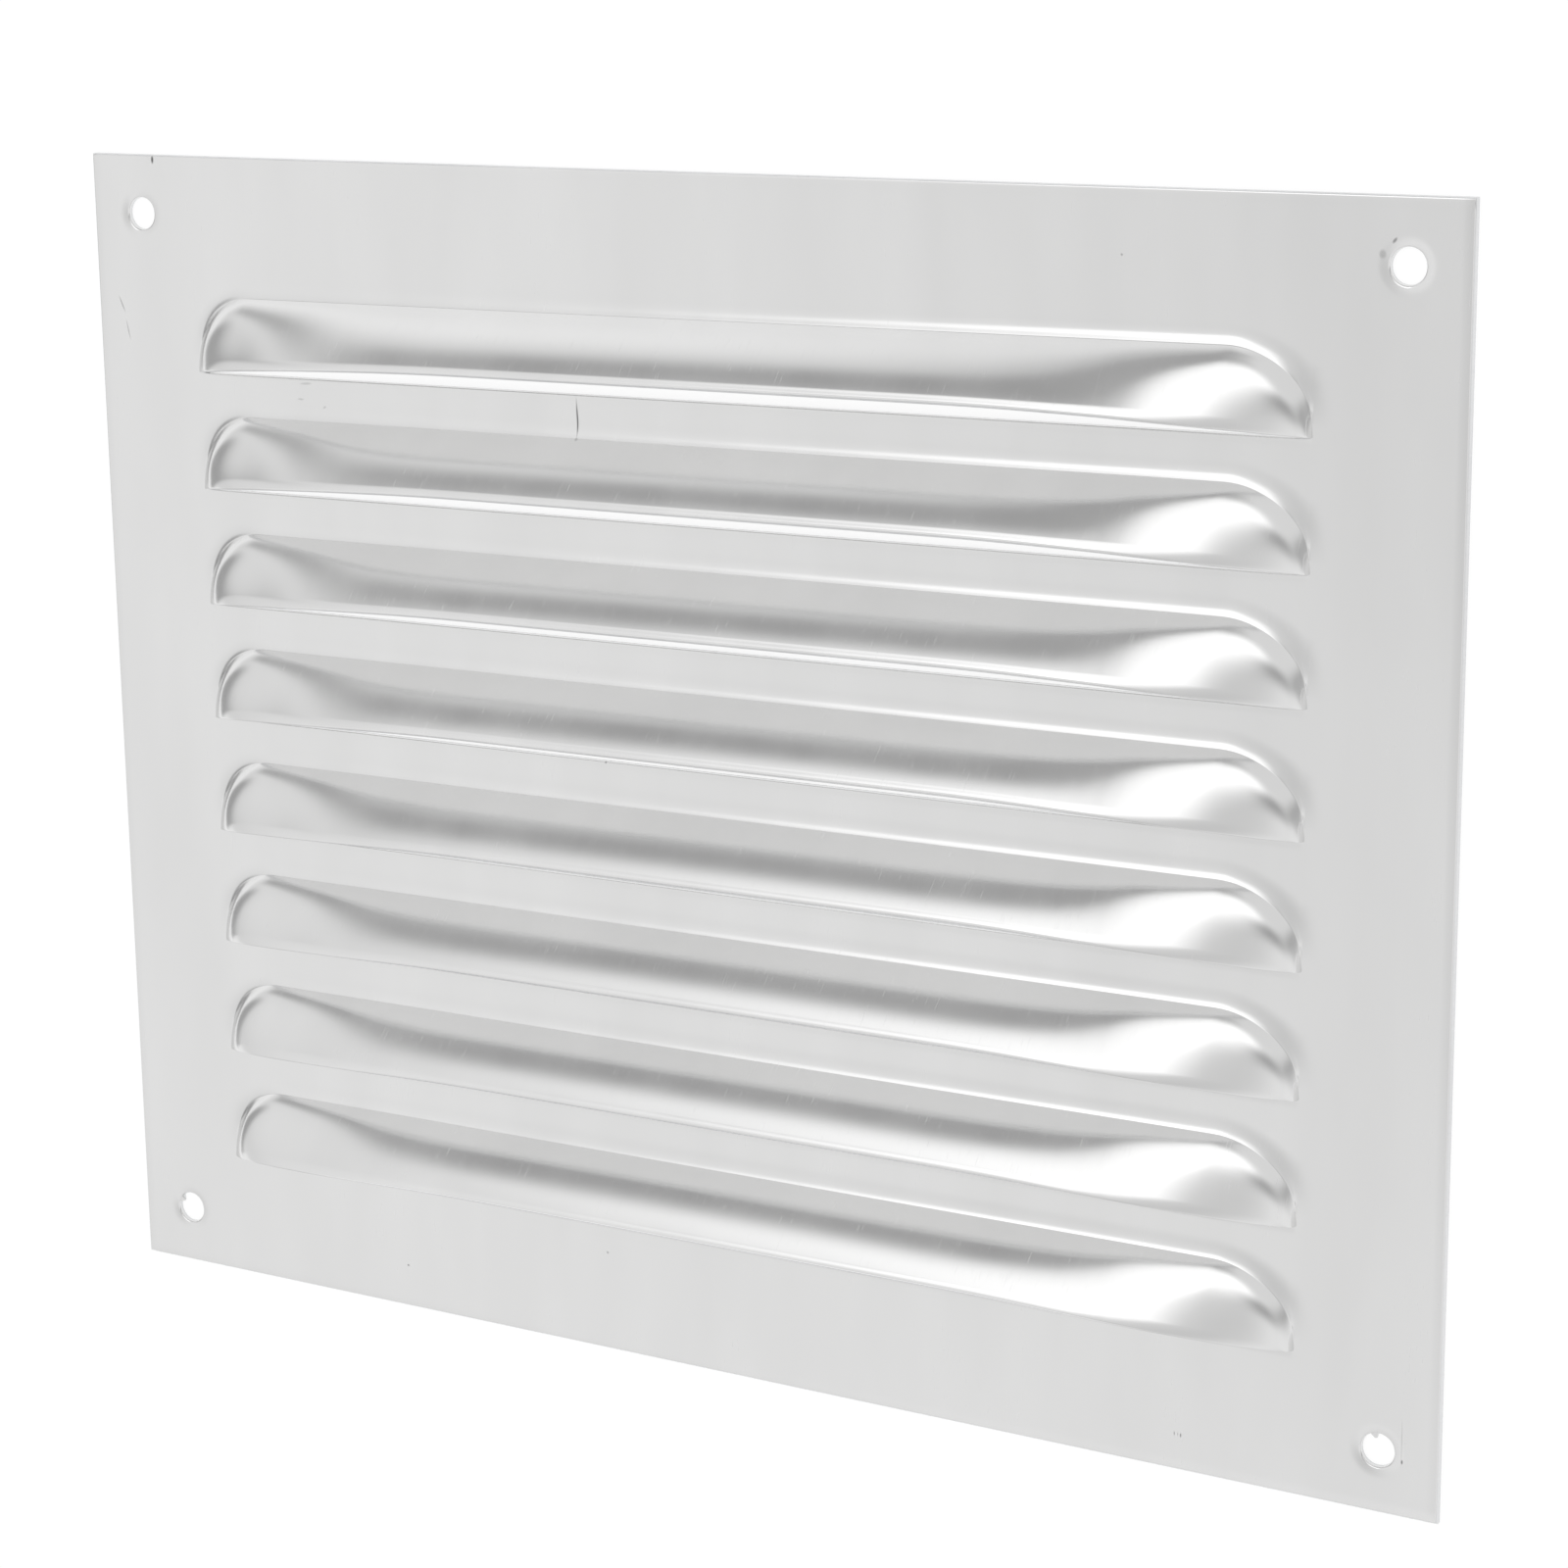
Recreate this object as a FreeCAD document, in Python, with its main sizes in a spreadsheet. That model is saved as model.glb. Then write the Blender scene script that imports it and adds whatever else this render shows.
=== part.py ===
import FreeCAD, Part
import Sketcher
import math
import os

# Louvred vent panel: one sheet of aluminium with eight pressed louvres and four screw holes.
# The panel lies on its back face at Z = 0, X runs along the louvres and Z is the front side.
# Every louvre opens toward -Y, the side that is lowest when the panel is screwed to a wall.

V = FreeCAD.Vector

# Driving dimensions in millimetres and degrees
DIMENSIONS = [
    ("panel_width", 250, "outer size along the louvres"),
    ("panel_height", 200, "outer size across the louvres"),
    ("sheet_thickness", 1.2, "gauge of the sheet"),
    ("edge_roll", 0.4, "rounding that the shear leaves on the front edges"),
    ("hole_diameter", 5.4, "screw hole"),
    ("hole_margin", 10, "centre of a screw hole from each of its two edges"),
    ("hole_rim", 0.5, "bevel that the punch draws into the front rim of a hole"),
    ("louvre_count", 8, "number of louvres"),
    ("louvre_pitch", 20.15, "slit to slit"),
    ("louvre_length", 204, "length of the slit"),
    ("louvre_shift", -1, "middle of the slits from the middle of the panel"),
    ("louvre_base", 13, "slit to crease"),
    ("corner_radius", 11, "plan radius of the two upper corners of a louvre"),
    ("wall_angle", 48, "slope of the metal where it leaves the sheet"),
    ("crease_radius", 0.8, "inside radius of the fold where a louvre leaves the sheet"),
    ("lip_rise", 9.6, "outer edge of the lip above the front face, at mid-length"),
    ("lip_lift", 3.5, "outer edge of the lip above the slit, at mid-length"),
    ("arch_length", 60, "distance from the end over which the lip reaches its full rise"),
]

# Sections of a louvre are drawn at these angles round its plan corner, in degrees, and then at
# these shares of the run from the corner to the end of the arch
OUTER_ANGLES = [20, 35, 50, 65, 78, 90]
INNER_ANGLES = [26, 39, 52, 65, 78, 90]
RUN_SHARES = [0.12, 0.28, 0.48, 0.72, 1]

# How much faster than its rise the lip draws back from the slit
LIFT_POWER = 1.5

# Degree at which the lofts stay smooth and close to their sections
LOFT_DEGREE = 3


def make_sheet(doc):
    """Write the driving dimensions into the spreadsheet, one alias a row."""
    sheet = doc.addObject("Spreadsheet::Sheet", "dims")
    for row, (alias, value, note) in enumerate(DIMENSIONS, start=1):
        sheet.set(f"A{row}", alias)
        sheet.set(f"B{row}", str(value))
        sheet.set(f"C{row}", note)
        sheet.setAlias(f"B{row}", alias)
    doc.recompute()
    return sheet


def origin_plane(body, role):
    """The body's own origin plane with this role."""
    return next(item for item in body.Origin.OriginFeatures if item.Role == role)


def rectangle(sketch, half_x, half_y, name):
    """A rectangle about the sketch's origin, its two sizes left to named constraints."""
    corners = [V(-half_x, -half_y), V(half_x, -half_y), V(half_x, half_y), V(-half_x, half_y)]
    first = sketch.GeometryCount
    for start, end in zip(corners, corners[1:] + corners[:1]):
        sketch.addGeometry(Part.LineSegment(start, end))
    for side in range(4):
        sketch.addConstraint(
            Sketcher.Constraint("Coincident", first + side, 2, first + (side + 1) % 4, 1))
    for side, direction in enumerate(["Horizontal", "Vertical", "Horizontal", "Vertical"]):
        sketch.addConstraint(Sketcher.Constraint(direction, first + side))
    sketch.addConstraint(Sketcher.Constraint("Symmetric", first, 1, first + 2, 1, -1, 1))
    wide = sketch.addConstraint(Sketcher.Constraint("DistanceX", first, 1, first, 2, 2 * half_x))
    high = sketch.addConstraint(
        Sketcher.Constraint("DistanceY", first + 1, 1, first + 1, 2, 2 * half_y))
    sketch.renameConstraint(wide, name + "_wide")
    sketch.renameConstraint(high, name + "_high")
    return first


def make_blank(doc, sheet):
    """The flat sheet with its four screw holes, sheared and punched from the front."""
    body = doc.addObject("PartDesign::Body", "blank")

    outline = body.newObject("Sketcher::SketchObject", "outline")
    outline.AttachmentSupport = [(origin_plane(body, "XY_Plane"), "")]
    outline.MapMode = "FlatFace"
    rectangle(outline, sheet.panel_width / 2, sheet.panel_height / 2, "panel")
    outline.setExpression("Constraints.panel_wide", "dims.panel_width")
    outline.setExpression("Constraints.panel_high", "dims.panel_height")

    plate = body.newObject("PartDesign::Pad", "plate")
    plate.Profile = outline
    plate.setExpression("Length", "dims.sheet_thickness")
    doc.recompute()

    drilling = body.newObject("Sketcher::SketchObject", "drilling")
    drilling.AttachmentSupport = [(origin_plane(body, "XY_Plane"), "")]
    drilling.MapMode = "FlatFace"
    frame = rectangle(
        drilling,
        sheet.panel_width / 2 - sheet.hole_margin,
        sheet.panel_height / 2 - sheet.hole_margin,
        "spacing")
    drilling.setExpression("Constraints.spacing_wide", "dims.panel_width - 2 * dims.hole_margin")
    drilling.setExpression("Constraints.spacing_high", "dims.panel_height - 2 * dims.hole_margin")
    for corner in range(frame, frame + 4):
        drilling.toggleConstruction(corner)
        centre = drilling.Geometry[corner].StartPoint
        hole = drilling.addGeometry(Part.Circle(centre, V(0, 0, 1), sheet.hole_diameter / 2))
        drilling.addConstraint(Sketcher.Constraint("Coincident", hole, 3, corner, 1))
        size = drilling.addConstraint(
            Sketcher.Constraint("Diameter", hole, sheet.hole_diameter))
        drilling.setExpression(f"Constraints[{size}]", "dims.hole_diameter")

    holes = body.newObject("PartDesign::Pocket", "screw_holes")
    holes.Profile = drilling
    holes.Type = "ThroughAll"
    holes.Reversed = True
    doc.recompute()

    sheared = body.newObject("PartDesign::Fillet", "sheared_edges")
    sheared.Base = (holes, front_edges(holes.Shape, sheet.sheet_thickness, Part.Line))
    sheared.setExpression("Radius", "dims.edge_roll")
    doc.recompute()

    punched = body.newObject("PartDesign::Chamfer", "punched_rims")
    punched.Base = (sheared, front_edges(sheared.Shape, sheet.sheet_thickness, Part.Circle))
    punched.setExpression("Size", "dims.hole_rim")
    body.Tip = punched
    doc.recompute()
    return body


def front_edges(shape, height, curve):
    """Names of the edges of one kind that lie wholly in the plane of the front face."""
    names = []
    for number, edge in enumerate(shape.Edges, start=1):
        low, high = edge.BoundBox.ZMin, edge.BoundBox.ZMax
        if max(abs(low - height), abs(high - height)) < 1e-6 and isinstance(edge.Curve, curve):
            names.append(f"Edge{number}")
    return names


def skin_sizes(sheet, inset):
    """Sizes of the louvre's skin at a depth below its outside: zero, or the sheet's thickness."""
    crown = math.atan2(sheet.lip_rise, sheet.louvre_base - sheet.lip_lift)
    wall = math.radians(sheet.wall_angle)
    lip_slope = 2 * crown - wall
    return {
        "start": inset,
        "floor": -inset,
        "corner_along": sheet.corner_radius - inset,
        "corner_across": sheet.corner_radius - inset * math.tan(wall / 2),
        "straight": sheet.louvre_base - sheet.corner_radius,
        "arch": sheet.arch_length - inset,
        "rise": sheet.lip_rise + inset * (1 - math.cos(lip_slope)),
        "lift": sheet.lip_lift - inset * math.sin(lip_slope),
        "wall": wall,
        "fold_reach": (sheet.crease_radius + inset) * math.tan(wall / 2),
    }


def stations(skin, angles):
    """Distances from the end of a skin at which its sections are drawn."""
    corner = [skin["corner_along"] * (1 - math.cos(math.radians(angle))) for angle in angles]
    run = skin["arch"] - skin["corner_along"]
    return corner + [skin["corner_along"] + share * run for share in RUN_SHARES]


def section(skin, distance):
    """The skin cut across at a distance from its end, as the control points of two smooth curves.

    The first curve is the fold that leaves the sheet and the second the wall up to the lip. Y is
    measured from the slit and Z from the front face of the sheet.
    """
    off_corner = max(0, 1 - distance / skin["corner_along"])
    round_corner = math.sqrt(1 - off_corner ** 2)
    foot_y = skin["straight"] + skin["corner_across"] * round_corner
    arch_share = math.sqrt(1 - (1 - distance / skin["arch"]) ** 2)
    lip_y = skin["lift"] * arch_share ** LIFT_POWER
    lip_z = skin["floor"] + skin["rise"] * arch_share
    foot_slope = math.atan(math.tan(skin["wall"]) * round_corner)
    chord_slope = math.atan2(lip_z - skin["floor"], foot_y - lip_y)
    lip_slope = 2 * chord_slope - foot_slope
    corner = V(0, foot_y, skin["floor"])
    reach = skin["fold_reach"] / round_corner
    fold_start = corner + V(0, reach, 0)
    fold_end = corner + direction(foot_slope) * reach
    bulge = 4 / 3 * math.tan(foot_slope / 4) / math.tan(foot_slope / 2) * reach
    lip = V(0, lip_y, lip_z)
    return [
        smooth_curve(fold_start, fold_end, 0, foot_slope, bulge),
        smooth_curve(fold_end, lip, foot_slope, lip_slope, (lip - fold_end).Length / 3)]


def direction(slope):
    """The way from the sheet to the lip at a slope, as a unit vector."""
    return V(0, -math.cos(slope), math.sin(slope))


def smooth_curve(start, end, start_slope, end_slope, handle):
    """Control points of a cubic curve between two points, with its slope given at each."""
    return [start, start + direction(start_slope) * handle, end - direction(end_slope) * handle, end]


def closed_wire(curves, corners, distance):
    """A wire at one station: the curves, then straight lines through the corners to their start."""
    place = V(distance, 0, 0)
    edges = []
    for points in curves:
        curve = Part.BezierCurve()
        curve.setPoles([point + place for point in points])
        edges.append(curve.toShape())
    stops = [curves[-1][-1]] + corners + [curves[0][0]]
    for start, end in zip(stops, stops[1:]):
        edges.append(Part.makeLine(start + place, end + place))
    return Part.Wire(edges)


def louvre_solid(sheet, wires):
    """Loft the corner and the arch of one end, extrude the last section, mirror the end."""
    corner_end = len(wires) - len(RUN_SHARES)
    corner = Part.makeLoft(wires[:corner_end], True, False, False, LOFT_DEGREE)
    arch = Part.makeLoft(wires[corner_end - 1:], True, False, False, LOFT_DEGREE)
    middle_length = sheet.louvre_length - 2 * sheet.arch_length
    middle = Part.Face(wires[-1]).extrude(V(middle_length, 0, 0))
    half_way = V(sheet.louvre_length / 2, 0, 0)
    mirrored = [form.mirror(half_way, V(1, 0, 0)) for form in (corner, arch)]
    return corner.fuse([arch, middle] + mirrored).removeSplitter()


def raised_form(sheet):
    """The outside of one louvre as a full solid, rooted half-way into the sheet.

    At the lip it is cut square to the skin for one thickness, and slants back to the slit.
    """
    skin = skin_sizes(sheet, 0)
    root = -sheet.sheet_thickness / 2
    wires = []
    for distance in stations(skin, OUTER_ANGLES):
        fold, wall = section(skin, distance)
        along_lip = (wall[-1] - wall[-2]).normalize()
        square = V(0, -along_lip.z, along_lip.y) * sheet.sheet_thickness
        corners = [wall[-1] + square, V(0, 0, root), V(0, fold[0].y, root)]
        wires.append(closed_wire([fold, wall], corners, distance))
    return louvre_solid(sheet, wires)


def hollow_form(sheet):
    """The space under one louvre, open at the back of the sheet and at the mouth."""
    skin = skin_sizes(sheet, sheet.sheet_thickness)
    below = 2 * skin["floor"]
    wires = []
    for distance in stations(skin, INNER_ANGLES):
        fold, wall = section(skin, distance)
        past_lip = wall[-1] + (wall[-1] - wall[-2]).normalize() * sheet.sheet_thickness
        corners = [past_lip, V(0, 0, 0), V(0, 0, below), V(0, fold[0].y, below)]
        wires.append(closed_wire([fold, wall], corners, skin["start"] + distance))
    return louvre_solid(sheet, wires)


def place_louvres(doc, sheet, name, shape):
    """One copy of a louvre form at each slit, as an object of the document."""
    top_slit = "(dims.louvre_pitch * (dims.louvre_count - 1) - dims.louvre_base) / 2"
    copies = []
    for number in range(int(sheet.louvre_count)):
        copy = doc.addObject("Part::Feature", f"{name}_{number + 1}")
        copy.Shape = shape
        copy.setExpression("Placement.Base.x", "dims.louvre_shift - dims.louvre_length / 2")
        copy.setExpression("Placement.Base.y", f"{top_slit} - dims.louvre_pitch * {number}")
        copy.setExpression("Placement.Base.z", "dims.sheet_thickness")
        copies.append(copy)
    doc.recompute()
    return copies


doc = FreeCAD.newDocument("louvred_panel")
sheet = make_sheet(doc)
blank = make_blank(doc, sheet)

raised = doc.addObject("Part::MultiFuse", "pressed_blank")
raised.Shapes = [blank] + place_louvres(doc, sheet, "louvre_outside", raised_form(sheet))

hollows = doc.addObject("Part::Compound", "hollows")
hollows.Links = place_louvres(doc, sheet, "louvre_hollow", hollow_form(sheet))

panel = doc.addObject("Part::Cut", "louvred_panel")
panel.Label = "louvred_panel"
panel.Base = raised
panel.Tool = hollows
panel.Refine = True
doc.recompute()

faults = [item.Label for item in doc.Objects if {"Invalid", "Error"} & set(item.State)]
if faults:
    raise RuntimeError(f"failed objects: {faults}")

os.makedirs("parts", exist_ok=True)
for piece in [panel]:
    if piece.Shape.isNull() or not piece.Shape.isValid():
        raise RuntimeError(f"{piece.Label} has no valid shape")
    piece.Shape.exportStep(f"parts/{piece.Label}.step")
    print(piece.Label, len(piece.Shape.Solids), "solid", round(piece.Shape.Volume), "mm3")
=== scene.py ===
import math

import bpy
from mathutils import Matrix, Vector


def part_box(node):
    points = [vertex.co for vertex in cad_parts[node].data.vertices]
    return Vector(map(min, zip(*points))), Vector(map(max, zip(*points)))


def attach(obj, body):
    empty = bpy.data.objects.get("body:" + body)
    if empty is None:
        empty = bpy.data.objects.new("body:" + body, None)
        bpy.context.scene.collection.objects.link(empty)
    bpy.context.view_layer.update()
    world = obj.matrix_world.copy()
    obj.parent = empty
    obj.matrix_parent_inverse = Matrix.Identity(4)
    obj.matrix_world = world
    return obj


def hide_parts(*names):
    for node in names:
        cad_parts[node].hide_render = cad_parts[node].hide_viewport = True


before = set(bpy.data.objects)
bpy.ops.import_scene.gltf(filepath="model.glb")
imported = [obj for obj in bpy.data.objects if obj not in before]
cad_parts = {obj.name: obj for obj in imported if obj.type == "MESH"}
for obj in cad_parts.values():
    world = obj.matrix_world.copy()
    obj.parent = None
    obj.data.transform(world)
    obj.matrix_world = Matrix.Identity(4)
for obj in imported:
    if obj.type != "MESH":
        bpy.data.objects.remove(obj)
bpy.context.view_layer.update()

MM = 0.001

# The sheet, in millimetres. Its outline comes from the frame
LOW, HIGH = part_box("louvred_panel")
HALF_WIDE = HIGH.x / MM
HALF_HIGH = HIGH.y / MM
GAUGE = 1.2
EDGE_ROLL = 0.4
EDGE_BAND = 2

# The screw holes, each in a shallow dish, with the radius of the dish and of the rim's roll
HOLE_RADIUS = 2.7
HOLE_RIM = 0.5
HOLE_DISH = 4.6
DISH_DEPTH = 0.2
HOLE_MARGIN = 10

# Burrs left in two holes: the hole's place, the way from its middle to the burr in degrees, and the length
BURRS = ((115, -90, 104, 0.9), (-115, -90, 151, 0.7))
BURR_HEIGHT = 0.25
BURR_TAPER = 0.3

# The ladder of louvres stands turned on the sheet, by radians, and the turn fades out past its reach
LADDER_TURN = 0.0064
LADDER_REACH = 78

# The ladder in millimetres, counted from the top of the panel
LOUVRES = 8
PITCH = 20.15
LENGTH = 204
SHIFT = -1

# A louvre's outline. Its right end is drawn out longer than its left one
BASE = 13
CORNER = 11
RIGHT_STRETCH = 0.36
STRETCH_REACH = 30

# A louvre's section: the wall's and the lip's slopes, how tight the knee between them is, and the lip's place
WALL = math.radians(49)
LIP_SLOPE = math.radians(34.5)
KNEE = 0.72
RISE = 9.5
LIFT = 3.5
LIFT_POWER = 1.5
CREASE = 0.5
LIP_ROLL = 0.3

# How far from a louvre's end its lip reaches the full slope, rise and lift
LIP_ARCH = 33
RISE_ARCH = 40
LIFT_ARCH = 60

# The sheet swells gently up to the crease round each louvre
SWELL_RADIUS = 6
SWELL_SLOPE = math.radians(30)
SWELL_START = 12

TOP_SLIT = (PITCH * (LOUVRES - 1) - BASE) / 2
LEFT_END = SHIFT - LENGTH / 2
RIGHT_END = SHIFT + LENGTH / 2

# How finely the sheet is divided
CORNER_STEPS = 17
ARCH_STEPS = 14
ARCH_SPREAD = 1.4
MIDDLE_STEPS = 16
WALL_STEPS = 12
FOLD_STEPS = 4
SWELL_STEPS = 5
FLAT_STEPS = 3
HOLE_STEPS = 8
DISH_STEPS = 6
RIM_STEPS = 4
SWELL_COLUMNS = (1.05, 0.9, 0.7, 0.5, 0.3, 0.1)
SUPPORT = 0.3
LEDGE = 3
WELD = 0.002
SMOOTH_BELOW = math.radians(35)

# The camera looks down on the sheet as the photograph looks at the upright one
CAMERA_PLACE = Vector((311.0, 144.0, 512.0)) * MM
CAMERA_RIGHT = Vector((0.8641, -0.0116, -0.5033))
CAMERA_UP = Vector((-0.1067, 0.9728, -0.2054))
CAMERA_LENS = 87.14

# The studio's brightness at heights above the floor, each height as a share of straight up
STUDIO_HEIGHTS = ((0, 0.85), (0.1, 1.0), (0.25, 0.8), (0.45, 0.83), (0.6, 0.87), (0.84, 0.88), (1, 0.68))

# Patches over it: azimuth, elevation, half width, half height and turn in degrees, edge, brightness
STUDIO_PATCHES = (
    (113, 22, 32, 9.5, -2, 0.45, 0.38),
    (102, 27, 33, 12, -55, 0.33, 0.45),
    (90, 53, 19, 31, 58, 0.4, 1.4),
    (115, 40, 22, 10, -55, 0.3, 1.3),
    (33, 55, 15, 53, -48, 0.05, 0.42),
    (8, 12, 18, 59, -22, 0.2, 0.48),
    (342, 18, 26, 39, -17, 0.35, 0.93),
    (177, 9, 40, 9, -35, 0.45, 0.4),
    (123, 50, 12, 11, 0, 0.4, 1.5),
    (62, 30, 53, 24, -6, 0.35, 0.81),
)

# The floor, whose own light keeps it white where the camera or the metal sees it
FLOOR_WIDTH = 8
FLOOR_COLOUR = (0.22, 0.22, 0.22, 1)
FLOOR_LIGHT = 0.84

# Single marks on the front: middle in millimetres, half width, half length, lean in degrees, darkness. The three
# marks near x −26 draw a groove whose darkness is painted shade of its hollow, laid over its dent; the others are
# darker, rougher spots and lines
MARKS = (
    ((-26.3, 59.8), 0.22, 4.1, 3, 0.85),
    ((-26.7, 55.4), 0.16, 1.2, -28, 0.6),
    ((-26.1, 56.6), 0.45, 0.5, 0, 0.7),
    ((-111.8, 99.2), 0.35, 0.9, 0, 0.9),
    ((-120.0, 74.3), 0.16, 1.9, 24, 0.5),
    ((-118.9, 69.9), 0.14, 2.2, 12, 0.45),
    ((-81.0, 62.6), 1.6, 0.3, 4, 0.2),
    ((-82.2, 59.9), 0.9, 0.25, 0, 0.2),
    ((-77.2, 58.8), 0.5, 0.3, 30, 0.2),
    ((-22.4, 3.25), 0.25, 0.25, 0, 0.6),
    ((-66.3, -92.4), 0.3, 0.25, 0, 0.6),
    ((-24.3, -82.6), 0.25, 0.3, 0, 0.5),
    ((96.9, -76.0), 0.25, 0.3, 0, 0.6),
    ((70.4, 90.0), 0.25, 0.25, 0, 0.5),
    ((81.3, -94.0), 0.12, 0.5, 0, 0.6),
    ((81.9, -94.0), 0.1, 0.4, 0, 0.4),
    ((82.4, -94.1), 0.16, 0.5, 0, 0.7),
    ((119.1, -91.0), 0.2, 0.5, 0, 0.8),
    ((119.0, -88.0), 0.12, 5.0, 0, 0.2),
    ((111.2, 91.6), 0.7, 0.9, 0, 0.3),
    ((113.0, 93.6), 0.3, 0.7, -40, 0.6),
)
MARK_DEPTH = 1.5
# The marks' dark colour, which on the groove near x −26 is painted shade of its hollow
MARK_AND_SHADE_COLOUR = (0.12, 0.12, 0.12, 1)


# Shape of a louvre

def skin_sizes(inset):
    """Sizes of a louvre's front face, or with the gauge as its inset those of its back face."""
    swell_radius = SWELL_RADIUS + inset
    return {
        "inset": inset,
        "corner_along": CORNER - inset,
        "corner_across": CORNER - inset * math.sin(SWELL_SLOPE),
        "straight": BASE - CORNER,
        "rise_arch": RISE_ARCH - inset,
        "lift_arch": LIFT_ARCH - inset,
        "rise": RISE + inset * (1 - math.cos(LIP_SLOPE)),
        "lift": LIFT - inset * math.sin(LIP_SLOPE),
        "swell_radius": swell_radius,
        "swell": swell_radius * math.sin(SWELL_SLOPE),
        "fold": (CREASE + inset) * math.tan((WALL - SWELL_SLOPE) / 2),
    }


def bezier(points, share):
    """A point on a Bezier curve of any order."""
    while len(points) > 1:
        points = [a.lerp(b, share) for a, b in zip(points, points[1:])]
    return points[0]


def upward(slope):
    """The way from the sheet to the lip at a slope."""
    return Vector((-math.cos(slope), math.sin(slope)))


def swelled(skin, distance, across):
    """Height of the face outside the crease, at a distance along from the louvre's end."""
    beside = max(0, 1 - distance / skin["corner_along"])
    above = max(0, across - skin["straight"]) / skin["corner_across"]
    outside = (math.hypot(beside, above) - 1) * skin["corner_across"]
    share = min(1, max(0, 1 - outside / skin["swell"]))
    height = skin["swell_radius"] * (1 - math.cos(math.asin(share * math.sin(SWELL_SLOPE))))
    off_slit = min(1, max(0, across / SWELL_START))
    return height * off_slit ** 2 * (3 - 2 * off_slit) - skin["inset"]


def arched(distance, length):
    """How far the lip's arch has come at a distance from the louvre's end, from 0 to 1."""
    return math.sqrt(1 - (1 - min(max(distance, 0) / length, 1)) ** 2)


def across_louvre(skin, distance):
    """The face cut across at a distance from the louvre's end, as points from its lip to the flat.

    The first number of a point is measured from the slit and the second from the sheet's front.
    """
    off_corner = min(1, max(0, 1 - distance / skin["corner_along"]))
    around = math.sqrt(1 - off_corner ** 2)
    arch = arched(distance, skin["rise_arch"])
    lift = arched(distance, skin["lift_arch"]) ** LIFT_POWER
    side = skin["corner_across"] * around
    crease = Vector((skin["straight"] + side, swelled(skin, distance, skin["straight"] + side)))
    lip = Vector((skin["lift"] * lift, skin["rise"] * arch - skin["inset"]))
    swell_slope = math.atan(math.tan(SWELL_SLOPE) * around)
    wall_slope = math.atan(math.tan(WALL) * around)
    fold = crease + upward(swell_slope) * skin["inset"] * math.tan((wall_slope - swell_slope) / 2)
    lip_slope = LIP_SLOPE * math.sin(math.pi / 2 * min(max(distance, 0) / LIP_ARCH, 1))
    into_metal = Vector((math.sin(lip_slope), math.cos(lip_slope))) * (1 if skin["inset"] else -1)
    roll = LIP_ROLL * min(1, 3 * arch)
    leg = min(skin["fold"] / max(around, 0.3), (lip - fold).length / 4)
    fold_end = fold + upward(wall_slope) * leg
    fold_start = fold - upward(swell_slope) * leg
    wall_top = lip - upward(lip_slope) * roll
    chord = wall_top - fold_end
    chord_slope = math.atan2(chord.y, -chord.x)
    knee = KNEE * chord.length / max(math.sin(wall_slope - lip_slope), 0.05)
    past_lip = knee * max(math.sin(wall_slope - chord_slope), 0)
    past_fold = knee * max(math.sin(chord_slope - lip_slope), 0)
    wall_curve = [wall_top, wall_top - upward(lip_slope) * past_lip,
                  fold_end + upward(wall_slope) * past_fold, fold_end]
    fold_curve = [fold_end, fold, fold_start]
    points = [lip + into_metal * roll, lip + (into_metal - upward(lip_slope)) * roll * 0.3]
    points += [bezier(wall_curve, step / WALL_STEPS) for step in range(WALL_STEPS)]
    points += [bezier(fold_curve, step / FOLD_STEPS) for step in range(FOLD_STEPS + 1)]
    reach = math.sqrt(side ** 2 + 2 * skin["corner_across"] * skin["swell"] + skin["swell"] ** 2) - side
    flat = skin["straight"] + side + reach
    places = steps_between(fold_start.x, flat, SWELL_STEPS)[1:] + [flat + SUPPORT]
    points += [Vector((place, swelled(skin, distance, place))) for place in places]
    if distance <= 0:
        points = [Vector((point.x, swelled(skin, distance, point.x))) for point in points]
    return points, roll


def steps_between(start, end, count):
    return [start + (end - start) * step / count for step in range(count + 1)]


def places_at_hole(edge):
    """Places across a screw hole, whose middle is the margin in from an edge of the sheet."""
    hole = edge - HOLE_MARGIN
    return steps_between(hole - HOLE_MARGIN / 2, hole + HOLE_MARGIN / 2, HOLE_STEPS)


def columns_along(skin):
    """Places along X at which the sheet is divided, each with its distance from a louvre's end."""
    corner = [skin["corner_along"] * (1 - math.cos(math.pi / 2 * step / CORNER_STEPS))
              for step in range(CORNER_STEPS + 1)]
    run = skin["lift_arch"] - skin["corner_along"]
    half = [-skin["swell"] * share for share in SWELL_COLUMNS] + corner
    half += [skin["corner_along"] + run * (step / ARCH_STEPS) ** ARCH_SPREAD for step in range(1, ARCH_STEPS + 1)]
    middle = steps_between(skin["lift_arch"], LENGTH - skin["inset"] - LIFT_ARCH, MIDDLE_STEPS)[1:-1]
    louvre = [(LEFT_END + skin["inset"] + distance, distance) for distance in half + middle]
    for distance in reversed(half):
        stretch = RIGHT_STRETCH * max(0, distance) * max(0, 1 - distance / STRETCH_REACH)
        louvre.append((RIGHT_END - skin["inset"] - distance - stretch, distance))
    outer = places_at_hole(HALF_WIDE) + [HALF_WIDE - EDGE_BAND, HALF_WIDE]
    away = -2 * skin["swell"]
    return [(-x, away) for x in reversed(outer)] + louvre + [(x, away) for x in outer]


# Making the sheet

def select_only(objects):
    bpy.ops.object.select_all(action="DESELECT")
    for item in objects:
        item.select_set(True)
    bpy.context.view_layer.objects.active = objects[0]


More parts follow.
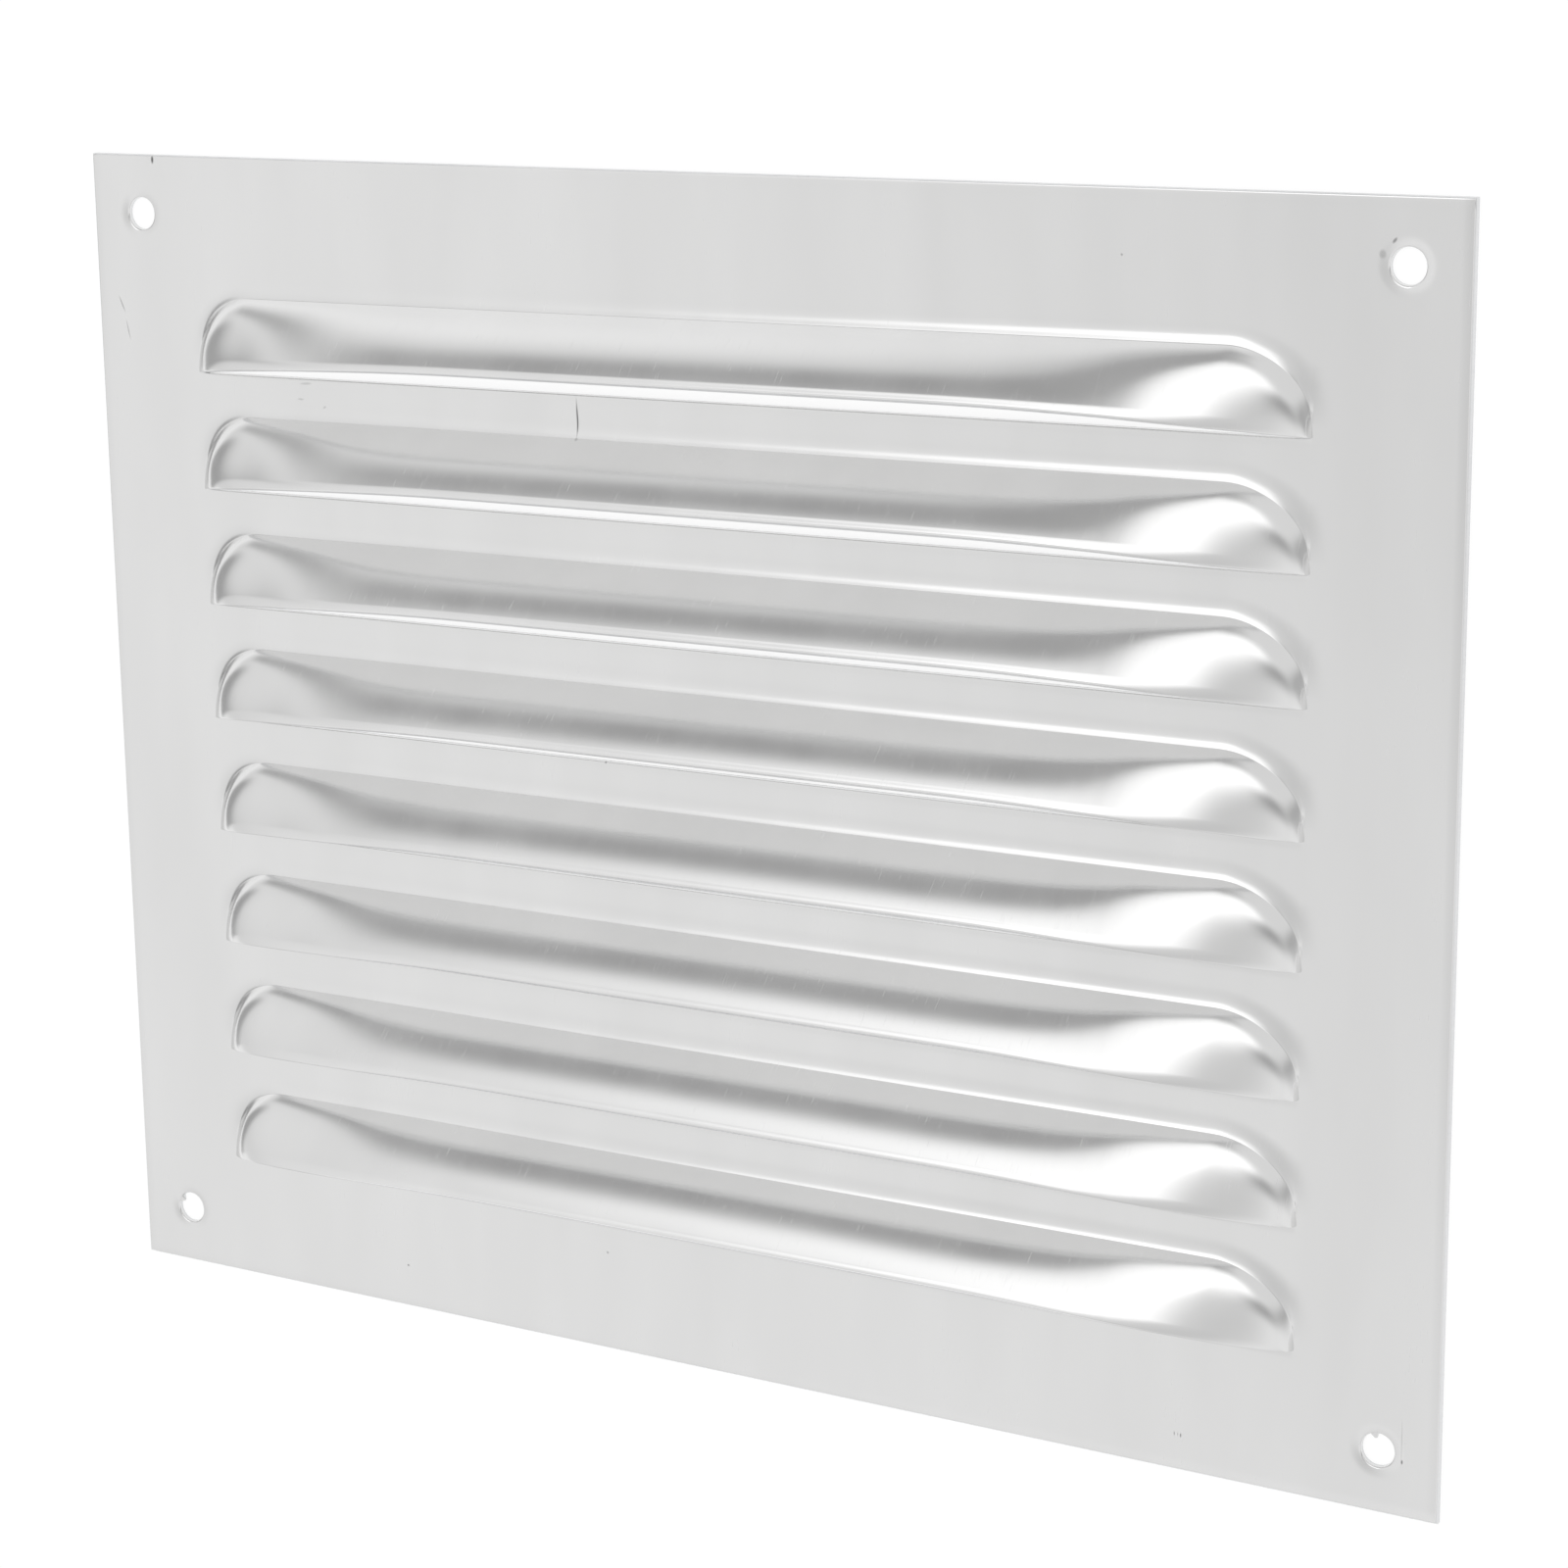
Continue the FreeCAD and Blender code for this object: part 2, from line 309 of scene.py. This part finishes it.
def laid_grid(name, front_rows, back_rows):
    """A grid laid on rows of front points, which keeps the step from each to its back point."""
    bpy.ops.object.select_all(action="DESELECT")
    bpy.ops.mesh.primitive_grid_add(x_subdivisions=len(front_rows[0]) - 1, y_subdivisions=len(front_rows) - 1)
    grid = bpy.context.object
    grid.name = name
    front = [Vector(point) * MM for row in front_rows for point in row]
    back = [Vector(point) * MM for row in back_rows for point in row]
    grid.data.vertices.foreach_set("co", [axis for point in front for axis in point])
    to_back = grid.data.attributes.new("to_back", "FLOAT_VECTOR", "POINT")
    to_back.data.foreach_set("vector", [axis for near, far in zip(front, back) for axis in far - near])
    grid.data.update()
    return grid


def hood_rows(inset):
    """Rows of one louvre whose slit lies on the X axis, from its lip to the ledge of the slit above."""
    skin = skin_sizes(inset)
    columns = columns_along(skin)
    cuts = [across_louvre(skin, distance)[0] for x, distance in columns]
    rows = [[(x, points[step].x, GAUGE + points[step].y) for (x, distance), points in zip(columns, cuts)]
            for step in range(len(cuts[0]))]
    for share in steps_between(0, 1, FLAT_STEPS)[1:]:
        rows.append([(x, points[-1].x * (1 - share) + (PITCH - LEDGE) * share, GAUGE - inset)
                     for (x, distance), points in zip(columns, cuts)])
    return rows


def ledge_rows(inset):
    """Rows of the flat below the slit, up to its cut edge."""
    skin = skin_sizes(inset)
    columns = columns_along(skin)
    rolls = [across_louvre(skin, distance)[1] for x, distance in columns]
    rows = [[(x, -LEDGE * share, GAUGE - inset) for x, distance in columns] for share in (1, 0.5)]
    for back, down in ((1, 0), (0.3, 0.3), (0, 1)):
        rows.append([(x, -roll * back, GAUGE - inset + roll * down * (1 if inset else -1))
                     for (x, distance), roll in zip(columns, rolls)])
    return rows


def flat_rows(inset, places):
    """Rows of the plain flat above or below the louvres."""
    return [[(x, y, GAUGE - inset) for x, distance in columns_along(skin_sizes(inset))] for y in places]


def inside(point, low, high):
    return all(a < p < b for a, p, b in zip(low, point, high))


def select_parts(sheet, kind, wanted):
    """Selects in edit mode only the faces or edges whose middle the test wants."""
    bpy.ops.object.mode_set(mode="EDIT")
    bpy.ops.mesh.select_mode(type=kind)
    bpy.ops.mesh.select_all(action="DESELECT")
    bpy.ops.object.mode_set(mode="OBJECT")
    places = [vertex.co.copy() for vertex in sheet.data.vertices]
    for part in sheet.data.polygons if kind == "FACE" else sheet.data.edges:
        middle = sum((places[index] for index in part.vertices), Vector()) / len(part.vertices)
        part.select = wanted(middle)
    bpy.ops.object.mode_set(mode="EDIT")


def punch_hole(sheet, centre):
    """A round hole in the front face, in a shallow dish, whose rim is rolled inwards as a punch leaves it."""
    half = Vector((1, 1, 1)) * HOLE_MARGIN / 2 * MM
    cut = half * 0.999
    select_parts(sheet, "FACE", lambda middle: inside(middle, centre - half, centre + half))
    bpy.ops.mesh.delete(type="FACE")
    select_parts(sheet, "EDGE", lambda middle: inside(middle, centre - half * 1.001, centre + half * 1.001)
                 and not inside(middle, centre - cut, centre + cut))
    rim = HOLE_RADIUS + HOLE_RIM
    loops = [(rim + (HOLE_DISH - rim) * (1 - share), DISH_DEPTH * share ** 2)
             for share in steps_between(0, 1, DISH_STEPS)]
    loops += [(rim - HOLE_RIM * math.sin(turn), DISH_DEPTH + HOLE_RIM * (1 - math.cos(turn)))
              for turn in steps_between(0, math.pi / 2, RIM_STEPS)[1:]]
    for radius, depth in loops:
        bpy.ops.object.mode_set(mode="EDIT")
        bpy.ops.mesh.extrude_edges_move()
        bpy.ops.object.mode_set(mode="OBJECT")
        to_back = sheet.data.attributes["to_back"].data
        for vertex in sheet.data.vertices:
            if vertex.select:
                away = (vertex.co - centre).xy.normalized() * radius * MM
                vertex.co = (centre.x + away.x, centre.y + away.y, (GAUGE - depth) * MM)
                to_back[vertex.index].vector = (0, 0, (depth - GAUGE) * MM)


def turn_ladder(sheet):
    """Turns the ladder a third of a degree on the sheet and leaves the holes where they are."""
    for vertex in sheet.data.vertices:
        past = (abs(vertex.co.y) / MM - LADDER_REACH) / (HALF_HIGH - HOLE_MARGIN * 1.5 - LADDER_REACH)
        vertex.co.y += LADDER_TURN * vertex.co.x * min(1, max(0, 1 - past))


def raise_burr(sheet, centre, turn, length):
    """A tongue of metal that the punch left on the back rim of a hole."""
    outward = Vector((math.cos(math.radians(turn)), math.sin(math.radians(turn)), 0))
    root = centre + outward * HOLE_RADIUS * MM
    select_parts(sheet, "FACE", lambda middle: (middle - root).length < 0.6 * MM
                 and abs((middle - centre).xy.length - HOLE_RADIUS * MM) < 0.1 * MM)
    bpy.ops.mesh.extrude_region_move()
    bpy.ops.transform.translate(value=-outward * length * MM)
    tip = root - outward * length * MM
    bpy.ops.transform.resize(value=(BURR_TAPER, BURR_TAPER, BURR_TAPER), center_override=tip)
    bpy.ops.object.mode_set(mode="OBJECT")


def make_sheet(face_metal, cut_metal):
    """The whole sheet: its front laid in strips, then given its gauge and its own back face."""
    louvre = laid_grid("louvre", hood_rows(0), hood_rows(GAUGE))
    ledge = laid_grid("ledge", ledge_rows(0), ledge_rows(GAUGE))
    select_only([louvre, ledge])
    bpy.ops.object.join()
    strips = [louvre]
    for number in range(1, LOUVRES):
        select_only([louvre])
        bpy.ops.object.duplicate(linked=False)
        copy = bpy.context.object
        copy.data.transform(Matrix.Translation((0, (TOP_SLIT - PITCH * number) * MM, 0)))
        strips.append(copy)
    louvre.data.transform(Matrix.Translation((0, TOP_SLIT * MM, 0)))
    outer = places_at_hole(HALF_HIGH) + [HALF_HIGH - EDGE_BAND, HALF_HIGH]
    above = [TOP_SLIT + PITCH - LEDGE] + outer
    below = [-y for y in reversed(outer)] + [TOP_SLIT - PITCH * (LOUVRES - 1) - LEDGE]
    strips.append(laid_grid("head", flat_rows(0, above), flat_rows(GAUGE, above)))
    strips.append(laid_grid("foot", flat_rows(0, below), flat_rows(GAUGE, below)))
    select_only(strips)
    bpy.ops.object.join()
    sheet = bpy.context.object
    sheet.name = "pressed_sheet"
    sheet.data.materials.append(face_metal)
    sheet.data.materials.append(cut_metal)
    bpy.ops.object.mode_set(mode="EDIT")
    bpy.ops.mesh.select_all(action="SELECT")
    bpy.ops.mesh.remove_doubles(threshold=WELD * MM)
    bpy.ops.object.mode_set(mode="OBJECT")
    turn_ladder(sheet)
    for x in (-1, 1):
        for y in (-1, 1):
            centre = Vector((x * (HALF_WIDE - HOLE_MARGIN), y * (HALF_HIGH - HOLE_MARGIN), GAUGE)) * MM
            punch_hole(sheet, centre)
    front = len(sheet.data.vertices)
    thick = sheet.modifiers.new("gauge", "SOLIDIFY")
    thick.thickness = GAUGE * MM
    thick.offset = -1
    thick.material_offset_rim = 1
    bpy.ops.object.modifier_apply(modifier=thick.name)
    vertices = sheet.data.vertices
    to_back = sheet.data.attributes["to_back"].data
    for index in range(front):
        vertices[front + index].co = vertices[index].co + to_back[index].vector
    sheet.data.attributes.remove(sheet.data.attributes["to_back"])
    return sheet


def roll_outer_edges(sheet):
    """The shear's rounding along the front of the four outer edges."""
    def outer_front(middle):
        outer = abs(middle.x) > (HALF_WIDE - 0.01) * MM or abs(middle.y) > (HALF_HIGH - 0.01) * MM
        return outer and middle.z > (GAUGE - 0.01) * MM

    select_parts(sheet, "EDGE", outer_front)
    bpy.ops.mesh.bevel(offset=EDGE_ROLL * MM, segments=3)
    bpy.ops.object.mode_set(mode="OBJECT")


def make_camera():
    data = bpy.data.cameras.new("camera")
    data.lens = CAMERA_LENS
    data.sensor_width = 36
    data.clip_start = 0.05
    data.clip_end = 50
    camera = bpy.data.objects.new("camera", data)
    right = CAMERA_RIGHT.normalized()
    up = (CAMERA_UP - right * CAMERA_UP.dot(right)).normalized()
    back = right.cross(up)
    turn = Matrix((right, up, back)).transposed().to_4x4()
    camera.matrix_world = Matrix.Translation(CAMERA_PLACE) @ turn
    bpy.context.scene.collection.objects.link(camera)
    bpy.context.scene.camera = camera


# Studio

def add_node(tree, kind, values=None, **settings):
    """A node with its settings, its inputs set to values or linked to other nodes' outputs."""
    node = tree.nodes.new("ShaderNode" + kind)
    for name, setting in settings.items():
        setattr(node, name, setting)
    for name, value in (values or {}).items():
        if hasattr(value, "is_output"):
            tree.links.new(value, node.inputs[name])
        else:
            node.inputs[name].default_value = value
    return node


def add_math(tree, operation, *values):
    return add_node(tree, "Math", dict(enumerate(values)), operation=operation).outputs[0]


def towards(azimuth, elevation):
    """The direction with an azimuth from +X and an elevation above the floor, in degrees."""
    azimuth, elevation = math.radians(azimuth), math.radians(elevation)
    return Vector((math.cos(azimuth) * math.cos(elevation), math.sin(azimuth) * math.cos(elevation),
                   math.sin(elevation)))


def studio_patch(tree, directions, level, patch):
    """Lays a soft patch of another brightness over the studio's walls and ceiling."""
    azimuth, elevation, half_wide, half_high, turn, edge, brightness = patch
    middle = towards(azimuth, elevation)
    across = Vector((-math.sin(math.radians(azimuth)), math.cos(math.radians(azimuth)), 0))
    facing = Matrix((across, middle.cross(across), middle)).transposed()
    facing = facing @ Matrix.Rotation(math.radians(turn), 3, "Z")
    half_size = (math.sin(math.radians(half_wide)), math.sin(math.radians(half_high)), 1)
    place = add_node(tree, "Mapping", {"Vector": directions, "Location": middle, "Rotation": facing.to_euler(),
                                       "Scale": half_size}, vector_type="TEXTURE")
    away = add_node(tree, "VectorMath", {0: place.outputs["Vector"]}, operation="LENGTH")
    fade = add_node(tree, "MapRange", {"Value": away.outputs["Value"], "From Min": 1, "From Max": edge},
                    interpolation_type="SMOOTHSTEP")
    blend = add_node(tree, "Mix", {"Factor": fade.outputs["Result"], "A": level, "B": brightness})
    return blend.outputs["Result"]


def make_studio():
    world = bpy.data.worlds.new("studio")
    bpy.context.scene.world = world
    world.use_nodes = True
    tree = world.node_tree
    directions = add_node(tree, "TexCoord").outputs["Generated"]
    split = add_node(tree, "SeparateXYZ", {"Vector": directions})
    heights = add_node(tree, "FloatCurve", {"Value": split.outputs["Z"]})
    # The curve reaches no higher than 1, so it holds half of each brightness
    curve = heights.mapping.curves[0]
    for place, brightness in STUDIO_HEIGHTS[1:-1]:
        curve.points.new(place, brightness / 2)
    curve.points[0].location = (0, STUDIO_HEIGHTS[0][1] / 2)
    curve.points[-1].location = (1, STUDIO_HEIGHTS[-1][1] / 2)
    heights.mapping.update()
    level = add_math(tree, "MULTIPLY", heights.outputs["Value"], 2)
    for patch in STUDIO_PATCHES:
        level = studio_patch(tree, directions, level, patch)
    tree.links.new(level, tree.nodes["Background"].inputs["Color"])


def make_floor():
    bpy.ops.mesh.primitive_plane_add(size=FLOOR_WIDTH, location=(0, 0, 0))
    floor = bpy.context.object
    floor.name = "floor"
    paint = bpy.data.materials.new("floor_white")
    paint.use_nodes = True
    tree = paint.node_tree
    shader = tree.nodes["Principled BSDF"]
    shader.inputs["Base Color"].default_value = FLOOR_COLOUR
    shader.inputs["Roughness"].default_value = 1
    shader.inputs["Specular IOR Level"].default_value = 0
    path = add_node(tree, "LightPath")
    seen = add_math(tree, "MAXIMUM", path.outputs["Is Camera Ray"], path.outputs["Is Glossy Ray"])
    seen = add_math(tree, "MAXIMUM", seen, path.outputs["Is Transmission Ray"])
    shader.inputs["Emission Color"].default_value = (1, 1, 1, 1)
    tree.links.new(add_math(tree, "MULTIPLY", seen, FLOOR_LIGHT), shader.inputs["Emission Strength"])
    floor.data.materials.append(paint)


# The aluminium

def new_group(name, inputs, outputs):
    """A shader node group with its inputs, given with their starting values, and its outputs."""
    group = bpy.data.node_groups.new(name, "ShaderNodeTree")
    for label, start in inputs.items():
        kind = "NodeSocketVector" if isinstance(start, tuple) else "NodeSocketFloat"
        group.interface.new_socket(label, in_out="INPUT", socket_type=kind).default_value = start
    for label in outputs:
        group.interface.new_socket(label, in_out="OUTPUT", socket_type="NodeSocketFloat")
    return group, group.nodes.new("NodeGroupInput"), group.nodes.new("NodeGroupOutput")


def rolled_grain():
    """Fine streaks along the way the sheet was rolled, and broad clouds where the rolls pressed unevenly."""
    group, given, result = new_group("rolled_grain", {"Place": (0.0, 0.0, 0.0), "Across": 3000.0, "Along": 90.0},
                                     ["Streaks", "Clouds"])
    stretch = add_node(group, "CombineXYZ", {"X": given.outputs["Across"], "Y": given.outputs["Along"],
                                             "Z": given.outputs["Along"]})
    fine = add_node(group, "VectorMath", {0: given.outputs["Place"], 1: stretch.outputs[0]}, operation="MULTIPLY")
    streaks = add_node(group, "TexNoise", {"Vector": fine.outputs[0], "Scale": 1.0, "Detail": 3.0, "Roughness": 0.6})
    broad = add_node(group, "VectorMath", {0: given.outputs["Place"], 1: (1.0, 0.25, 1.0)}, operation="MULTIPLY")
    clouds = add_node(group, "TexNoise", {"Vector": broad.outputs[0], "Scale": 70.0, "Detail": 4.0})
    group.links.new(streaks.outputs["Fac"], result.inputs["Streaks"])
    group.links.new(clouds.outputs["Fac"], result.inputs["Clouds"])
    return group


def rubbed_scratches():
    """Fine scratches that lean one way, and pits that catch the light."""
    group, given, result = new_group("rubbed_scratches", {"Place": (0.0, 0.0, 0.0), "Lean": 0.1, "Amount": 0.5},
                                     ["Scratches", "Pits"])
    leaning = add_node(group, "VectorRotate", {"Vector": given.outputs["Place"], "Angle": given.outputs["Lean"]})
    drawn = add_node(group, "VectorMath", {0: leaning.outputs[0], 1: (9000.0, 260.0, 260.0)}, operation="MULTIPLY")
    lines = add_node(group, "TexNoise", {"Vector": drawn.outputs[0], "Scale": 1.0, "Detail": 1.0})
    least = add_math(group, "MULTIPLY_ADD", given.outputs["Amount"], -0.3, 0.8)
    most = add_math(group, "ADD", least, 0.1)
    shown = add_node(group, "MapRange", {"Value": lines.outputs["Fac"], "From Min": least, "From Max": most})
    cells = add_node(group, "TexVoronoi", {"Vector": given.outputs["Place"], "Scale": 420.0})
    chance = add_math(group, "GREATER_THAN", cells.outputs["Color"], 0.9)
    near = add_math(group, "LESS_THAN", cells.outputs["Distance"], 0.07)
    pits = add_math(group, "MULTIPLY", chance, near)
    group.links.new(shown.outputs["Result"], result.inputs["Scratches"])
    group.links.new(pits, result.inputs["Pits"])
    return group


def single_mark():
    """One soft-edged mark, given by its middle, half size and lean in millimetres and radians."""
    group, given, result = new_group(
        "single_mark",
        {"Place": (0.0, 0.0, 0.0), "Middle": (0.0, 0.0, 0.0), "Half Size": (1.0, 1.0, 1.0), "Lean": 0.0},
        ["Mark"])
    in_mm = add_node(group, "VectorMath", {0: given.outputs["Place"], "Scale": 1 / MM}, operation="SCALE")
    away = add_node(group, "VectorMath", {0: in_mm.outputs[0], 1: given.outputs["Middle"]}, operation="SUBTRACT")
    turned = add_node(group, "VectorRotate", {"Vector": away.outputs[0], "Angle": given.outputs["Lean"]})
    share = add_node(group, "VectorMath", {0: turned.outputs[0], 1: given.outputs["Half Size"]}, operation="DIVIDE")
    distance = add_node(group, "VectorMath", {0: share.outputs[0]}, operation="LENGTH")
    mark = add_node(group, "MapRange", {"Value": distance.outputs["Value"], "From Min": 1.0, "From Max": 0.3},
                    interpolation_type="SMOOTHSTEP")
    group.links.new(mark.outputs["Result"], result.inputs["Mark"])
    return group


def place_group(tree, group, values):
    node = tree.nodes.new("ShaderNodeGroup")
    node.node_tree = group
    for name, value in values.items():
        if hasattr(value, "is_output"):
            tree.links.new(value, node.inputs[name])
        else:
            node.inputs[name].default_value = value
    return node


def make_face_metal(grain, scratches, mark):
    """Bare rolled aluminium with its stray marks, among them a groove darkened with painted shade."""
    metal = bpy.data.materials.new("rolled_aluminium")
    metal.use_nodes = True
    tree = metal.node_tree
    shader = tree.nodes["Principled BSDF"]
    place = add_node(tree, "TexCoord").outputs["Object"]
    rolled = place_group(tree, grain, {"Place": place, "Across": 3400.0, "Along": 60.0})
    rubbed = place_group(tree, scratches, {"Place": place, "Lean": 0.05, "Amount": 0.45})
    marks_and_painted_shade = None
    for (x, y), half_wide, half_long, lean, darkness in MARKS:
        spot = place_group(tree, mark, {"Place": place, "Middle": (x, y, GAUGE), "Lean": -math.radians(lean),
                                        "Half Size": (half_wide, half_long, MARK_DEPTH)})
        spot = add_math(tree, "MULTIPLY", spot.outputs["Mark"], darkness)
        marks_and_painted_shade = spot if marks_and_painted_shade is None else add_math(tree, "MAXIMUM", marks_and_painted_shade, spot)
    tone = add_node(tree, "MapRange", {"Value": rolled.outputs["Clouds"], "From Min": 0.3, "From Max": 0.7})
    clean = add_node(tree, "Mix", {"Factor": tone.outputs["Result"], 6: (0.79, 0.789, 0.787, 1),
                                   7: (0.825, 0.824, 0.822, 1)}, data_type="RGBA")
    # Mixes in the marks' dark colour; on the groove this darkness is painted shade
    marked = add_node(tree, "Mix", {"Factor": marks_and_painted_shade, 6: clean.outputs[2], 7: MARK_AND_SHADE_COLOUR}, data_type="RGBA")
    smooth = add_node(tree, "MapRange", {"Value": rolled.outputs["Clouds"], "From Min": 0.3, "From Max": 0.7,
                                         "To Min": 0.13, "To Max": 0.17})
    rough = add_math(tree, "MULTIPLY_ADD", rubbed.outputs["Scratches"], 0.12, smooth.outputs["Result"])
    rough = add_math(tree, "MULTIPLY_ADD", marks_and_painted_shade, 0.3, rough)
    height = add_math(tree, "MULTIPLY_ADD", rubbed.outputs["Pits"], -1.5, rolled.outputs["Streaks"])
    height = add_math(tree, "MULTIPLY_ADD", marks_and_painted_shade, -4.0, height)
    relief = add_node(tree, "Bump", {"Height": height, "Strength": 0.25, "Distance": 0.000006})
    tree.links.new(marked.outputs[2], shader.inputs["Base Color"])
    tree.links.new(rough, shader.inputs["Roughness"])
    tree.links.new(relief.outputs["Normal"], shader.inputs["Normal"])
    shader.inputs["Metallic"].default_value = 1
    return metal


def make_cut_metal(grain, scratches):
    """Aluminium where the shear and the punch went through, torn across the gauge."""
    metal = bpy.data.materials.new("sheared_aluminium")
    metal.use_nodes = True
    tree = metal.node_tree
    shader = tree.nodes["Principled BSDF"]
    place = add_node(tree, "TexCoord").outputs["Object"]
    torn = place_group(tree, grain, {"Place": place, "Across": 2200.0, "Along": 900.0})
    nicked = place_group(tree, scratches, {"Place": place, "Lean": 1.4, "Amount": 0.7})
    tone = add_node(tree, "Mix", {"Factor": torn.outputs["Clouds"], 6: (0.66, 0.665, 0.67, 1),
                                  7: (0.84, 0.845, 0.85, 1)}, data_type="RGBA")
    smooth = add_node(tree, "MapRange", {"Value": torn.outputs["Streaks"], "To Min": 0.22, "To Max": 0.45})
    rough = add_math(tree, "MULTIPLY_ADD", nicked.outputs["Scratches"], 0.2, smooth.outputs["Result"])
    relief = add_node(tree, "Bump", {"Height": torn.outputs["Streaks"], "Strength": 0.4, "Distance": 0.00002})
    tree.links.new(tone.outputs[2], shader.inputs["Base Color"])
    tree.links.new(rough, shader.inputs["Roughness"])
    tree.links.new(relief.outputs["Normal"], shader.inputs["Normal"])
    shader.inputs["Metallic"].default_value = 1
    return metal


make_camera()
make_floor()
make_studio()
grain, scratches = rolled_grain(), rubbed_scratches()

sheet = make_sheet(make_face_metal(grain, scratches, single_mark()), make_cut_metal(grain, scratches))
roll_outer_edges(sheet)
for x, y, turn, length in BURRS:
    raise_burr(sheet, Vector((x, y, BURR_HEIGHT)) * MM, turn, length)
bpy.ops.object.shade_smooth_by_angle(angle=SMOOTH_BELOW)
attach(sheet, "root")
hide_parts("louvred_panel")

bpy.context.scene.view_settings.view_transform = "Standard"
